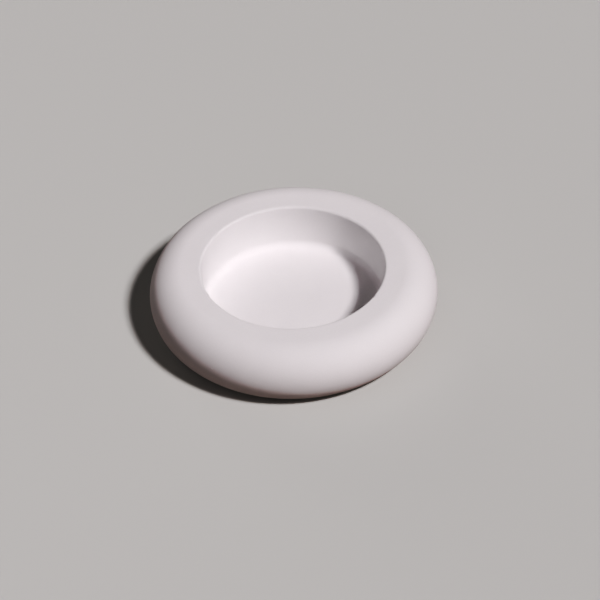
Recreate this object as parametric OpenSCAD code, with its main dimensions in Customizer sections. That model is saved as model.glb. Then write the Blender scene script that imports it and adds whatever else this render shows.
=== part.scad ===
// One-piece open plaster mold: a low round block with a half-round side
// and a flat-floored forming recess in its top, whose wall has a slight draft.
// Millimetres, +Z up, origin at the centre of the flat base.

/* [Body] */
// Outer diameter at the widest point of the half-round side
body_d = 110; // [98:0.5:140]
// Overall height, from the flat base to the flat top land
body_h = 24; // [21:0.5:30]
// Depth cut off the bottom of the half-round side by the flat base
base_cut = 0.6; // [0.2:0.1:1.5]

/* [Recess] */
// Diameter of the recess wall where it would meet the top land
recess_d = 70; // [50:0.2:72]
// Depth of the recess, from the top land to the flat floor
recess_depth = 18.7; // [8:0.1:19]
// Draft of the recess wall, in degrees: the recess narrows downwards
recess_draft = 2; // [0:0.5:5]
// Radius of the rounded lip where the wall meets the top land
lip_r = 1; // [0.4:0.1:2]
// Radius of the fillet where the wall meets the floor
floor_fillet_r = 2.9; // [0.5:0.1:5]

/* [Quality] */
// Segments round a full circle, for display
segments = 180; // [60:12:240]

/* [Hidden] */
$fn = segments;

// Half-round side: one arc, tangent to the top land
side_r = (body_h + base_cut) / 2;
side_z = body_h - side_r;
land_r = body_d / 2 - side_r;

recess_r = recess_d / 2;
floor_z = body_h - recess_depth;
over = 2;

// Radius of the drafted wall at height z
function wall_r(z) = recess_r - tan(recess_draft) * (body_h - z);

// Centre of the floor fillet, and where its arc meets the wall
fillet_z = floor_z + floor_fillet_r;
fillet_x = wall_r(fillet_z) - floor_fillet_r / cos(recess_draft);
fillet_end = [fillet_x + floor_fillet_r * cos(recess_draft),
              fillet_z - floor_fillet_r * sin(recess_draft)];

// Centre of the lip's arc, which stands a hair proud of the wall line so
// that the two meet in one clean edge, and a point out in the recess
hair = 0.002;
lip_z = body_h - lip_r;
lip_x = wall_r(lip_z) + (lip_r - hair) / cos(recess_draft);
lip_out = lip_x - over * lip_r;

// Outer outline, from the axis to the half-round side
module body_outline() {
    difference() {
        union() {
            square([land_r, body_h]);
            translate([land_r, side_z])
                circle(r = side_r);
        }
        translate([-over, -2 * over])
            square([body_d, 2 * over]);
    }
}

// Recess outline, with the floor fillet left in and open past the top
module recess_outline() {
    polygon([[0, floor_z], [fillet_x, floor_z], fillet_end,
             [wall_r(body_h + over), body_h + over], [0, body_h + over]]);
    translate([fillet_x, fillet_z])
        circle(r = floor_fillet_r);
}

// Sharp corner that the rounded lip takes off, round the mouth
module lip_outline() {
    difference() {
        polygon([[lip_x, lip_z], [lip_x, body_h + over],
                 [lip_out, body_h + over],
                 [lip_out, lip_z + (lip_x - lip_out) * tan(recess_draft)]]);
        translate([lip_x, lip_z])
            circle(r = lip_r);
    }
}

// The whole casting: solid plaster, turned about the Z axis
module mold_body() {
    color([0.88, 0.86, 0.86])
        rotate_extrude()
            difference() {
                body_outline();
                recess_outline();
                lip_outline();
            }
}

mold_body();
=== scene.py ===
import math
import random

import bmesh
import bpy
from mathutils import Matrix, Vector, noise


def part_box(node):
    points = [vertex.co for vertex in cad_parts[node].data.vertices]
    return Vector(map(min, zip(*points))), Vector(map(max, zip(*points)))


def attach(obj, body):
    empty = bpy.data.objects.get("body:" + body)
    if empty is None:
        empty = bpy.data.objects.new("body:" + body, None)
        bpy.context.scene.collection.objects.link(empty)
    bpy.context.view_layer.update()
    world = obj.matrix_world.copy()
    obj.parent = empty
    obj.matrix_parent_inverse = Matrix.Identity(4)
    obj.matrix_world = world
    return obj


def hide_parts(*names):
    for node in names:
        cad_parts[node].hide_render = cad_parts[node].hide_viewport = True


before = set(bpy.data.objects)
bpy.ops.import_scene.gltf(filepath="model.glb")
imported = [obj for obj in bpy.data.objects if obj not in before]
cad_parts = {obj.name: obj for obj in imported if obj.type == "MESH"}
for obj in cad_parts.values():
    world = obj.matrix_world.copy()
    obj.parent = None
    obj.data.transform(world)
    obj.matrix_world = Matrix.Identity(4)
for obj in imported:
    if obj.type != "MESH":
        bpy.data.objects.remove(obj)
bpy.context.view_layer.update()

MM = 0.001
scene = bpy.context.scene
scene.view_settings.view_transform = "Standard"
scene.view_settings.look = "None"

# ---------------------------------------------------------------- sizes
# The design sizes of the CAD body, in metres. The box gives the outer ones.
low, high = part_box("mold_body")
BODY_R = (high[0] - low[0]) / 2
BODY_H = high[2] - low[2]
BASE_CUT = 0.6 * MM
SIDE_R = (BODY_H + BASE_CUT) / 2
SIDE_Z = BODY_H - SIDE_R
LAND_R = BODY_R - SIDE_R
RECESS_R = 35.0 * MM
RECESS_DEPTH = 18.7 * MM
DRAFT = math.radians(2.0)
FLOOR_Z = BODY_H - RECESS_DEPTH
LIP_R = 1.0 * MM
FILLET_R = 2.9 * MM
BASE_R = LAND_R + math.sqrt(SIDE_R**2 - SIDE_Z**2)

# Segments round the widest rings, the fewest round any ring, and the share of
# the body's radius below which a ring has half of them, and so on inwards.
SEGMENTS = 512
FEWEST = 16
HALVING = 0.45
# Steps along the outline in each region.
STEPS = {"base": 22, "side": 58, "land": 11, "lip": 9, "wall": 20, "fillet": 10,
         "floor": 22}
# Flat rim that is left at the edge of the base, and how far the sharp edge
# between it and the side is rubbed off, inwards and upwards.
BASE_RIM = 0.35 * MM
RUBBED_IN, RUBBED_UP = 0.04 * MM, 0.03 * MM
# How far the scraped base is hollow at its middle.
BASE_HOLLOW = 0.02 * MM


def wall_radius(z):
    """Radius of the drafted recess wall at height z."""
    return RECESS_R - math.tan(DRAFT) * (BODY_H - z)


# ---------------------------------------------------------------- outline
# Each outline point is (radius, height, normal r, normal z, region).


def arc(cr, cz, r, start, end, region, inward=False):
    """Points on a circular arc of the outline, with normals out of the plaster."""
    sign = -1 if inward else 1
    steps = STEPS[region]
    points = []
    for i in range(steps + 1):
        a = math.radians(start + (end - start) * i / steps)
        c, s = math.cos(a), math.sin(a)
        points.append((cr + r * c, cz + r * s, sign * c, sign * s, region))
    return points


def straight(start, end, region, normal):
    """Points inside the straight stretch between two (radius, height) places."""
    steps = STEPS[region]
    points = []
    for i in range(1, steps):
        r = start[0] + (end[0] - start[0]) * i / steps
        z = start[1] + (end[1] - start[1]) * i / steps
        points.append((r, z, normal[0], normal[1], region))
    return points


def base_edge(point):
    """The first point of the side, where the sharp edge of the base is rubbed off."""
    r, z, nr, nz, region = point
    normal = Vector((nr, nz - 1.0)).normalized()
    return (r - RUBBED_IN, z + RUBBED_UP, normal[0], normal[1], region)


def outline():
    """The outline from the middle of the base, up the side and into the recess."""
    base_angle = -math.degrees(math.asin(SIDE_Z / SIDE_R))
    side = arc(LAND_R, SIDE_Z, SIDE_R, base_angle, 90, "side")
    side[0] = base_edge(side[0])
    draft = math.degrees(DRAFT)
    lip_z, fillet_z = BODY_H - LIP_R, FLOOR_Z + FILLET_R
    lip_x = wall_radius(lip_z) + LIP_R / math.cos(DRAFT)
    fillet_x = wall_radius(fillet_z) - FILLET_R / math.cos(DRAFT)
    lip = arc(lip_x, lip_z, LIP_R, 90, 180 - draft, "lip")
    fillet = arc(fillet_x, fillet_z, FILLET_R, -draft, -90, "fillet", inward=True)

    points = straight((0.0, 0.0), (BASE_R, 0.0), "base", (0.0, -1.0))
    points.append((BASE_R - BASE_RIM, 0.0, 0.0, -1.0, "base"))
    points += side
    points += straight((LAND_R, BODY_H), (lip_x, BODY_H), "land", (0.0, 1.0))
    points += lip
    points += straight(lip[-1], fillet[0], "wall", (-math.cos(DRAFT), math.sin(DRAFT)))
    points += fillet
    points += straight((fillet_x, FLOOR_Z), (0.0, FLOOR_Z), "floor", (0.0, 1.0))
    return points


def ring_count(r):
    """Fewer segments on the small rings near the axis, so faces stay even."""
    n = SEGMENTS
    while n > FEWEST and r < HALVING * BODY_R * n / SEGMENTS:
        n //= 2
    return n


# ---------------------------------------------------------------- relief
rng = random.Random(41)

# Waviness of the cast surface in each region: a long and a short wave, each with
# its height and length in mm and an offset in the noise.
WAVES = {
    "side": ((0.070, 19.0, 1.7), (0.018, 5.0, 8.2)),
    "land": ((0.030, 14.0, 2.9), (0.008, 4.0, 6.4)),
    "recess": ((0.025, 16.0, 4.6), (0.008, 5.0, 7.7)),
}
# The base was scraped level with a straight edge along X: the depth, length and
# width of the drag lines in mm with their offset, and a shallow wave.
DRAG = (0.030, 30.0, 1.6, 5.3)
BASE_WAVE = (0.030, 12.0, 3.1)
# The side's waviness dies out over this height above the base.
FADE = 2.0 * MM


def wave(p, length, offset):
    """Smooth noise at p whose bumps are about length mm wide."""
    return noise.noise(Vector(p) / (length * MM) + Vector((offset, -offset, 0.37 * offset)))


def relief(p, region):
    """How far the finished surface stands from the design surface, in metres."""
    if region == "base":
        deep, long, wide, offset = DRAG
        drag = noise.noise(Vector((p[0] / (long * MM), p[1] / (wide * MM), offset)))
        height, length, offset = BASE_WAVE
        return -(deep * abs(drag) + height * abs(wave(p, length, offset))) * MM
    waves = WAVES.get(region, WAVES["recess"])
    return sum(height * wave(p, length, offset) for height, length, offset in waves) * MM


def nicks(r, z, count, wide, deep):
    """Small chips along the circle of radius r at height z, as (centre, size, depth)."""
    out = []
    for _ in range(count):
        a = rng.uniform(0, 2 * math.pi)
        size = rng.uniform(*wide) * MM
        out.append((Vector((r * math.cos(a), r * math.sin(a), z)), size,
                    rng.uniform(*deep) * MM))
    return out


# Chips on the rounded lip, and larger ones on the edge of the base.
INTO_LIP = 0.3 * LIP_R
CHIPS = nicks(RECESS_R + INTO_LIP, BODY_H - INTO_LIP, 7, (0.6, 1.1), (0.10, 0.22))
CHIPS += nicks(BASE_R, 0.0, 12, (0.8, 2.0), (0.15, 0.35))
# How uneven a chip's hollow is, and the size of its unevenness.
CHIP_ROUGH, CHIP_GRAIN = 0.5, 0.5 * MM


def chipped(p):
    """Depth that the chips take off at p."""
    depth = 0.0
    for centre, size, deep in CHIPS:
        d = (p - centre).length / size
        if d < 1.0:
            rough = 1.0 + CHIP_ROUGH * noise.noise(p / CHIP_GRAIN)
            depth = max(depth, deep * (1 - d * d) * rough)
    return depth


# ---------------------------------------------------------------- mesh
def turned(points):
    """The outline turned about Z, with its relief: vertices, and a ring for each point."""
    verts, rings = [], []
    for r, z, nr, nz, region in points:
        n = ring_count(r)
        fade = min(1.0, max(0.0, z / FADE)) if region == "side" else 1.0
        ring = []
        for k in range(n):
            a = 2 * math.pi * k / n
            c, s = math.cos(a), math.sin(a)
            p = Vector((r * c, r * s, z))
            normal = Vector((nr * c, nr * s, nz))
            p = p + normal * (relief(p, region) * fade - chipped(p))
            p.z = max(p.z, 0.0)
            ring.append(len(verts))
            verts.append(p)
        rings.append(ring)
    return verts, rings


def skinned(verts, rings):
    """Faces between the rings, and the number of each four-sided one by its place."""
    faces, quads = [], {}
    base_centre = len(verts)
    verts.append(Vector((0, 0, BASE_HOLLOW)))
    floor_centre = len(verts)
    verts.append(Vector((0, 0, FLOOR_Z)))
    first, last = rings[0], rings[-1]
    for k in range(len(first)):
        faces.append((base_centre, first[(k + 1) % len(first)], first[k]))
    for i, (a, b) in enumerate(zip(rings, rings[1:])):
        n = min(len(a), len(b))
        for k in range(n):
            j = (k + 1) % n
            if len(a) == len(b):
                quads[(i, k)] = len(faces)
                faces.append((a[k], a[j], b[j], b[k]))
            elif len(a) < len(b):
                f0, f1, f2 = b[2 * k], b[2 * k + 1], b[(2 * k + 2) % len(b)]
                faces += [(a[k], f1, f0), (a[k], a[j], f1), (a[j], f2, f1)]
            else:
                f0, f1, f2 = a[2 * k], a[2 * k + 1], a[(2 * k + 2) % len(a)]
                faces += [(f0, f1, b[k]), (f1, b[j], b[k]), (f1, f2, b[j])]
    for k in range(len(last)):
        faces.append((last[k], last[(k + 1) % len(last)], floor_centre))
    return faces, quads


# ---------------------------------------------------------------- air holes
# How many air holes each region has, the span of their radius in mm, and the
# share of larger ones and how much larger they are.
HOLES = {"base": 46, "side": 16}
HOLE_R = (0.16, 0.30)
LARGE_SHARE, LARGE_BY = 0.15, 1.5
# The least distance between holes, and the part of its patch that one can fill.
HOLE_GAP = 3.0 * MM
HOLE_FILL = 0.6
# On the side they keep to the lower rows, but off the edge of the base.
SIDE_ROWS = slice(3, 34)
# The cup below a mouth, as rings of (share of the radius, share of the depth).
CUP = ((1.0, 0.0), (0.94, 0.45), (0.66, 0.85))
MOST_TRIES = 2000


def hole_rows(region, rings, regions):
    """Rows where a patch of 3 x 3 faces fits in the region, on the fullest rings."""
    rows = [i for i in range(len(rings) - 3)
            if regions[i] == region and regions[i + 3] == region
            and len(rings[i]) == len(rings[i + 3]) == SEGMENTS]
    return rows[SIDE_ROWS] if region == "side" else rows


def patch_axes(verts, at):
    """Two directions along the surface of a patch, and the normal out of it."""
    x = (verts[at[1][2]] - verts[at[1][1]]).normalized()
    slant = (verts[at[2][1]] - verts[at[1][1]]).normalized()
    normal = x.cross(slant).normalized()
    return x, normal.cross(x), normal


def cup(verts, border, centre, axes, size):
    """One air hole inside the border: its faces, and the edges of its round mouth."""
    x, y, normal = axes
    n = len(border)
    turns = []
    for b in border:
        d = verts[b] - centre
        turns.append(math.atan2(d.dot(y), d.dot(x)))
    faces, mouth, outer = [], [], border
    for share, drop in CUP:
        ring = []
        for a in turns:
            off = (x * math.cos(a) + y * math.sin(a)) * size * share
            ring.append(len(verts))
            verts.append(centre + off - normal * size * drop)
        for e in range(n):
            g = (e + 1) % n
            faces.append((outer[e], outer[g], ring[g], ring[e]))
        mouth = mouth or [(ring[e], ring[(e + 1) % n]) for e in range(n)]
        outer = ring
    bottom = len(verts)
    verts.append(centre - normal * size)
    for e in range(n):
        faces.append((outer[e], outer[(e + 1) % n], bottom))
    return faces, mouth


def air_holes(verts, faces, quads, rings, regions):
    """Open the pinholes that air bubbles left, each in a patch of 3 x 3 faces.

    Returns the new faces, and the edges of the mouths."""
    removed, extra, mouths, taken = set(), [], [], []
    for region, count in HOLES.items():
        rows = hole_rows(region, rings, regions)
        made, tries = 0, 0
        while made < count and tries < MOST_TRIES:
            tries += 1
            i = rng.choice(rows)
            k = rng.randrange(SEGMENTS)
            size = rng.uniform(*HOLE_R) * MM
            if rng.random() < LARGE_SHARE:
                size *= LARGE_BY
            at = [[rings[i + u][(k + v) % SEGMENTS] for v in range(4)] for u in range(4)]
            centre = sum((verts[at[u][v]] for u in (1, 2) for v in (1, 2)), Vector()) / 4
            if any((centre - c).length < HOLE_GAP for c in taken):
                continue
            taken.append(centre)
            border = at[0] + [at[1][3], at[2][3]] + at[3][::-1] + [at[2][0], at[1][0]]
            reach = min((verts[b] - centre).length for b in border)
            size = min(size, HOLE_FILL * reach)
            hole, mouth = cup(verts, border, centre, patch_axes(verts, at), size)
            for u in range(3):
                for v in range(3):
                    removed.add(quads[(i + u, (k + v) % SEGMENTS)])
            extra += hole
            mouths += mouth
            made += 1
    kept = [f for n, f in enumerate(faces) if n not in removed]
    return kept + extra, mouths


def make_body():
    """The cast body as one mesh, smooth all over but for the mouths of its air holes."""
    points = outline()
    verts, rings = turned(points)
    faces, quads = skinned(verts, rings)
    regions = [region for *_, region in points]
    faces, mouths = air_holes(verts, faces, quads, rings, regions)
    mesh = bpy.data.meshes.new("mold_body_cast")
    mesh.from_pydata([tuple(v) for v in verts], [], faces)
    bm = bmesh.new()
    bm.from_mesh(mesh)
    bm.verts.ensure_lookup_table()
    for a, b in mouths:
        bm.edges.get((bm.verts[a], bm.verts[b])).smooth = False
    # The vertices inside the opened patches, which no face uses any more.
    loose = [v for v in bm.verts if not v.link_faces]
    bmesh.ops.delete(bm, geom=loose, context="VERTS")
    bmesh.ops.recalc_face_normals(bm, faces=bm.faces)
    for f in bm.faces:
        f.smooth = True
    bm.to_mesh(mesh)
    bm.free()
    piece = bpy.data.objects.new("mold_body_cast", mesh)
    scene.collection.objects.link(piece)
    return piece


# ---------------------------------------------------------------- material
def node(tree, kind, **values):
    """A new shader node, with values for its sockets or its own settings."""
    n = tree.nodes.new(kind)
    for key, value in values.items():
        if key in n.inputs:
            n.inputs[key].default_value = value
        else:
            setattr(n, key, value)
    return n


def plaster_material():
    """Dry plaster: near white, faintly clouded, chalky, with a fine tooth."""
    mat = bpy.data.materials.new("dry_plaster")
    mat.use_nodes = True
    tree = mat.node_tree
    tree.nodes.clear()
    link = tree.links.new
    out = node(tree, "ShaderNodeOutputMaterial")
    bsdf = node(tree, "ShaderNodeBsdfPrincipled")
    bsdf.inputs["IOR"].default_value = 1.45
    bsdf.inputs["Specular IOR Level"].default_value = 0.3
    bsdf.inputs["Diffuse Roughness"].default_value = 0.0
    link(bsdf.outputs["BSDF"], out.inputs["Surface"])
    coord = node(tree, "ShaderNodeTexCoord")

    def field(scale, detail, rough):
        """Noise fixed to the piece, with scale bumps to the metre."""
        n = node(tree, "ShaderNodeTexNoise", Scale=scale, Detail=detail, Roughness=rough)
        link(coord.outputs["Object"], n.inputs["Vector"])
        return n.outputs["Fac"]

    def spread(source, a, b, low_value, high_value):
        """The source with its range from a to b stretched to the given values."""
        values = {"From Min": a, "From Max": b, "To Min": low_value, "To Max": high_value}
        n = node(tree, "ShaderNodeMapRange", **values)
        link(source, n.inputs["Value"])
        return n.outputs["Result"]

    # Colour: faint clouds where the plaster dried at different rates, and a
    # fine powdery grain over them.
    clouds = node(tree, "ShaderNodeMix", data_type="RGBA")
    clouds.inputs["A"].default_value = (0.901, 0.893, 0.895, 1)
    clouds.inputs["B"].default_value = (0.924, 0.916, 0.918, 1)
    link(spread(field(38.0, 4.0, 0.55), 0.35, 0.65, 0.0, 1.0), clouds.inputs["Factor"])
    grain = node(tree, "ShaderNodeMix", data_type="RGBA", blend_type="MULTIPLY")
    grain.inputs["Factor"].default_value = 1.0
    link(clouds.outputs["Result"], grain.inputs["A"])
    tint = node(tree, "ShaderNodeCombineColor")
    speck = spread(field(2600.0, 2.0, 0.6), 0.3, 0.7, 0.965, 1.0)
    for channel in ("Red", "Green", "Blue"):
        link(speck, tint.inputs[channel])
    link(tint.outputs["Color"], grain.inputs["B"])
    link(grain.outputs["Result"], bsdf.inputs["Base Color"])
    # Roughness: chalky, a little closed where hands and tools have rubbed it.
    link(spread(field(120.0, 4.0, 0.6), 0.3, 0.7, 0.82, 0.96), bsdf.inputs["Roughness"])
    # Bump: set plaster's fine tooth.
    tooth = node(tree, "ShaderNodeBump", Strength=0.22, Distance=0.06 * MM)
    link(field(1500.0, 5.0, 0.65), tooth.inputs["Height"])
    link(tooth.outputs["Normal"], bsdf.inputs["Normal"])
    return mat


# ---------------------------------------------------------------- the piece
body = make_body()
body.data.materials.append(plaster_material())
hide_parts("mold_body")
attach(body, "root")

# ---------------------------------------------------------------- stage
# The soft white of the lamps, and the warmer white of the one behind.
LAMP = (1.0, 0.927, 0.957)
REAR_LAMP = (1.0, 0.93, 0.91)
# The floor's colour as the camera sees it and as it lights the mold from below,
# the wall's colour, and the light from all round.
FLOOR_SEEN = (0.64, 0.66, 0.63, 1)
FLOOR_BOUNCE = (0.24, 0.205, 0.18, 1)
WALL_SEEN = (0.430, 0.415, 0.407, 1)
AMBIENT, AMBIENT_STRENGTH = (1.0, 0.93, 0.88, 1), 0.024
# Half the floor's width, and how far it lies below the mold's base.
FLOOR_HALF = 8.0
FLOOR_GAP = 0.02 * MM
# How far off the distant lights stand. Only their direction matters.
FAR = 3.0


def plain_floor():
    """A plain floor, pale to look at, that sends little light back up under the mold."""
    mesh = bpy.data.meshes.new("floor")
    half = FLOOR_HALF
    corners = [(-half, -half, 0), (half, -half, 0), (half, half, 0), (-half, half, 0)]
    mesh.from_pydata(corners, [], [(0, 1, 2, 3)])
    floor = bpy.data.objects.new("floor", mesh)
    floor.location.z = -FLOOR_GAP
    scene.collection.objects.link(floor)
    mat = bpy.data.materials.new("pale_floor")
    mat.use_nodes = True
    tree = mat.node_tree
    bsdf = tree.nodes["Principled BSDF"]
    bsdf.inputs["Roughness"].default_value = 0.85
    bsdf.inputs["Specular IOR Level"].default_value = 0.15
    path = node(tree, "ShaderNodeLightPath")
    tone = node(tree, "ShaderNodeMix", data_type="RGBA")
    tone.inputs["A"].default_value = FLOOR_BOUNCE
    tone.inputs["B"].default_value = FLOOR_SEEN
    tree.links.new(path.outputs["Is Camera Ray"], tone.inputs["Factor"])
    tree.links.new(tone.outputs["Result"], bsdf.inputs["Base Color"])
    mesh.materials.append(mat)


def studio_world():
    """Dim light from all round, and a plain pale wall behind the floor to look at."""
    world = bpy.data.worlds.new("studio")
    world.use_nodes = True
    tree = world.node_tree
    tree.nodes.clear()
    out = node(tree, "ShaderNodeOutputWorld")
    ambient = node(tree, "ShaderNodeBackground", Color=AMBIENT, Strength=AMBIENT_STRENGTH)
    wall = node(tree, "ShaderNodeBackground", Color=WALL_SEEN, Strength=1.0)
    seen = node(tree, "ShaderNodeMixShader")
    path = node(tree, "ShaderNodeLightPath")
    tree.links.new(path.outputs["Is Camera Ray"], seen.inputs[0])
    tree.links.new(ambient.outputs["Background"], seen.inputs[1])
    tree.links.new(wall.outputs["Background"], seen.inputs[2])
    tree.links.new(seen.outputs["Shader"], out.inputs["Surface"])
    scene.world = world


def aimed(name, data, azimuth, elevation, distance):
    """Place a light at the given direction and distance, facing the mold."""
    obj = bpy.data.objects.new(name, data)
    a, e = math.radians(azimuth), math.radians(elevation)
    d = Vector((math.cos(e) * math.cos(a), math.cos(e) * math.sin(a), math.sin(e)))
    obj.location = d * distance + Vector((0, 0, BODY_H / 2))
    obj.rotation_euler = d.to_track_quat("Z", "Y").to_euler()
    obj.visible_camera = False
    scene.collection.objects.link(obj)
    return obj


def distant_light(name, azimuth, elevation, softness, strength, colour):
    """A large soft light so far off that it falls on every part alike."""
    data = bpy.data.lights.new(name, "SUN")
    data.angle = math.radians(softness)
    data.energy = strength
    data.color = colour
    return aimed(name, data, azimuth, elevation, FAR)


def near_panel(name, azimuth, elevation, distance, size, power, colour):
    """A round panel close by, so its light falls off across the mold."""
    data = bpy.data.lights.new(name, "AREA")
    data.shape = "DISK"
    data.size = size
    data.energy = power
    data.color = colour
    return aimed(name, data, azimuth, elevation, distance)


plain_floor()
studio_world()
distant_light("key", azimuth=-36.3, elevation=52.3, softness=9.5, strength=2.52, colour=LAMP)
distant_light("front_fill", azimuth=-100.0, elevation=35.0, softness=35.0, strength=0.10,
              colour=LAMP)
distant_light("rear_fill", azimuth=120.0, elevation=12.0, softness=25.0, strength=0.30,
              colour=REAR_LAMP)
near_panel("left_fill", azimuth=-150.0, elevation=45.0, distance=0.45, size=0.30, power=0.070,
           colour=LAMP)

# The contrast that a camera gives: deeper shadows and rounder highlights. Of the
# four curves, the last is the one for all three colours together.
scene.view_settings.use_curve_mapping = True
tones = scene.view_settings.curve_mapping
combined = tones.curves[-1]
combined.points[1].location = (1.0, 0.95)
for light_in, light_out in ((0.10, 0.05), (0.27, 0.28), (0.50, 0.52)):
    combined.points.new(light_in, light_out)
tones.update()

# ---------------------------------------------------------------- camera
# At the photo's angle. The frame is VIEW_WIDTH across at the mold, and its
# centre lies a little to the right of and above the middle of the base.
ELEVATION, ROLL = math.radians(41.4), math.radians(-1.75)
DISTANCE = 1.5
VIEW_WIDTH = 230.5 * MM
AIM_RIGHT, AIM_UP = 2.34 * MM, 5.19 * MM
camera_data = bpy.data.cameras.new("camera")
camera_data.sensor_width = 36.0
camera_data.lens = camera_data.sensor_width * DISTANCE / VIEW_WIDTH
camera = bpy.data.objects.new("camera", camera_data)
back = Vector((0, -math.cos(ELEVATION), math.sin(ELEVATION)))
right = Vector((1, 0, 0))
up = back.cross(right)
target = right * AIM_RIGHT + up * AIM_UP
basis = Matrix((right, up, back)).transposed() @ Matrix.Rotation(ROLL, 3, "Z")
camera.matrix_world = Matrix.Translation(target + back * DISTANCE) @ basis.to_4x4()
scene.collection.objects.link(camera)
scene.camera = camera
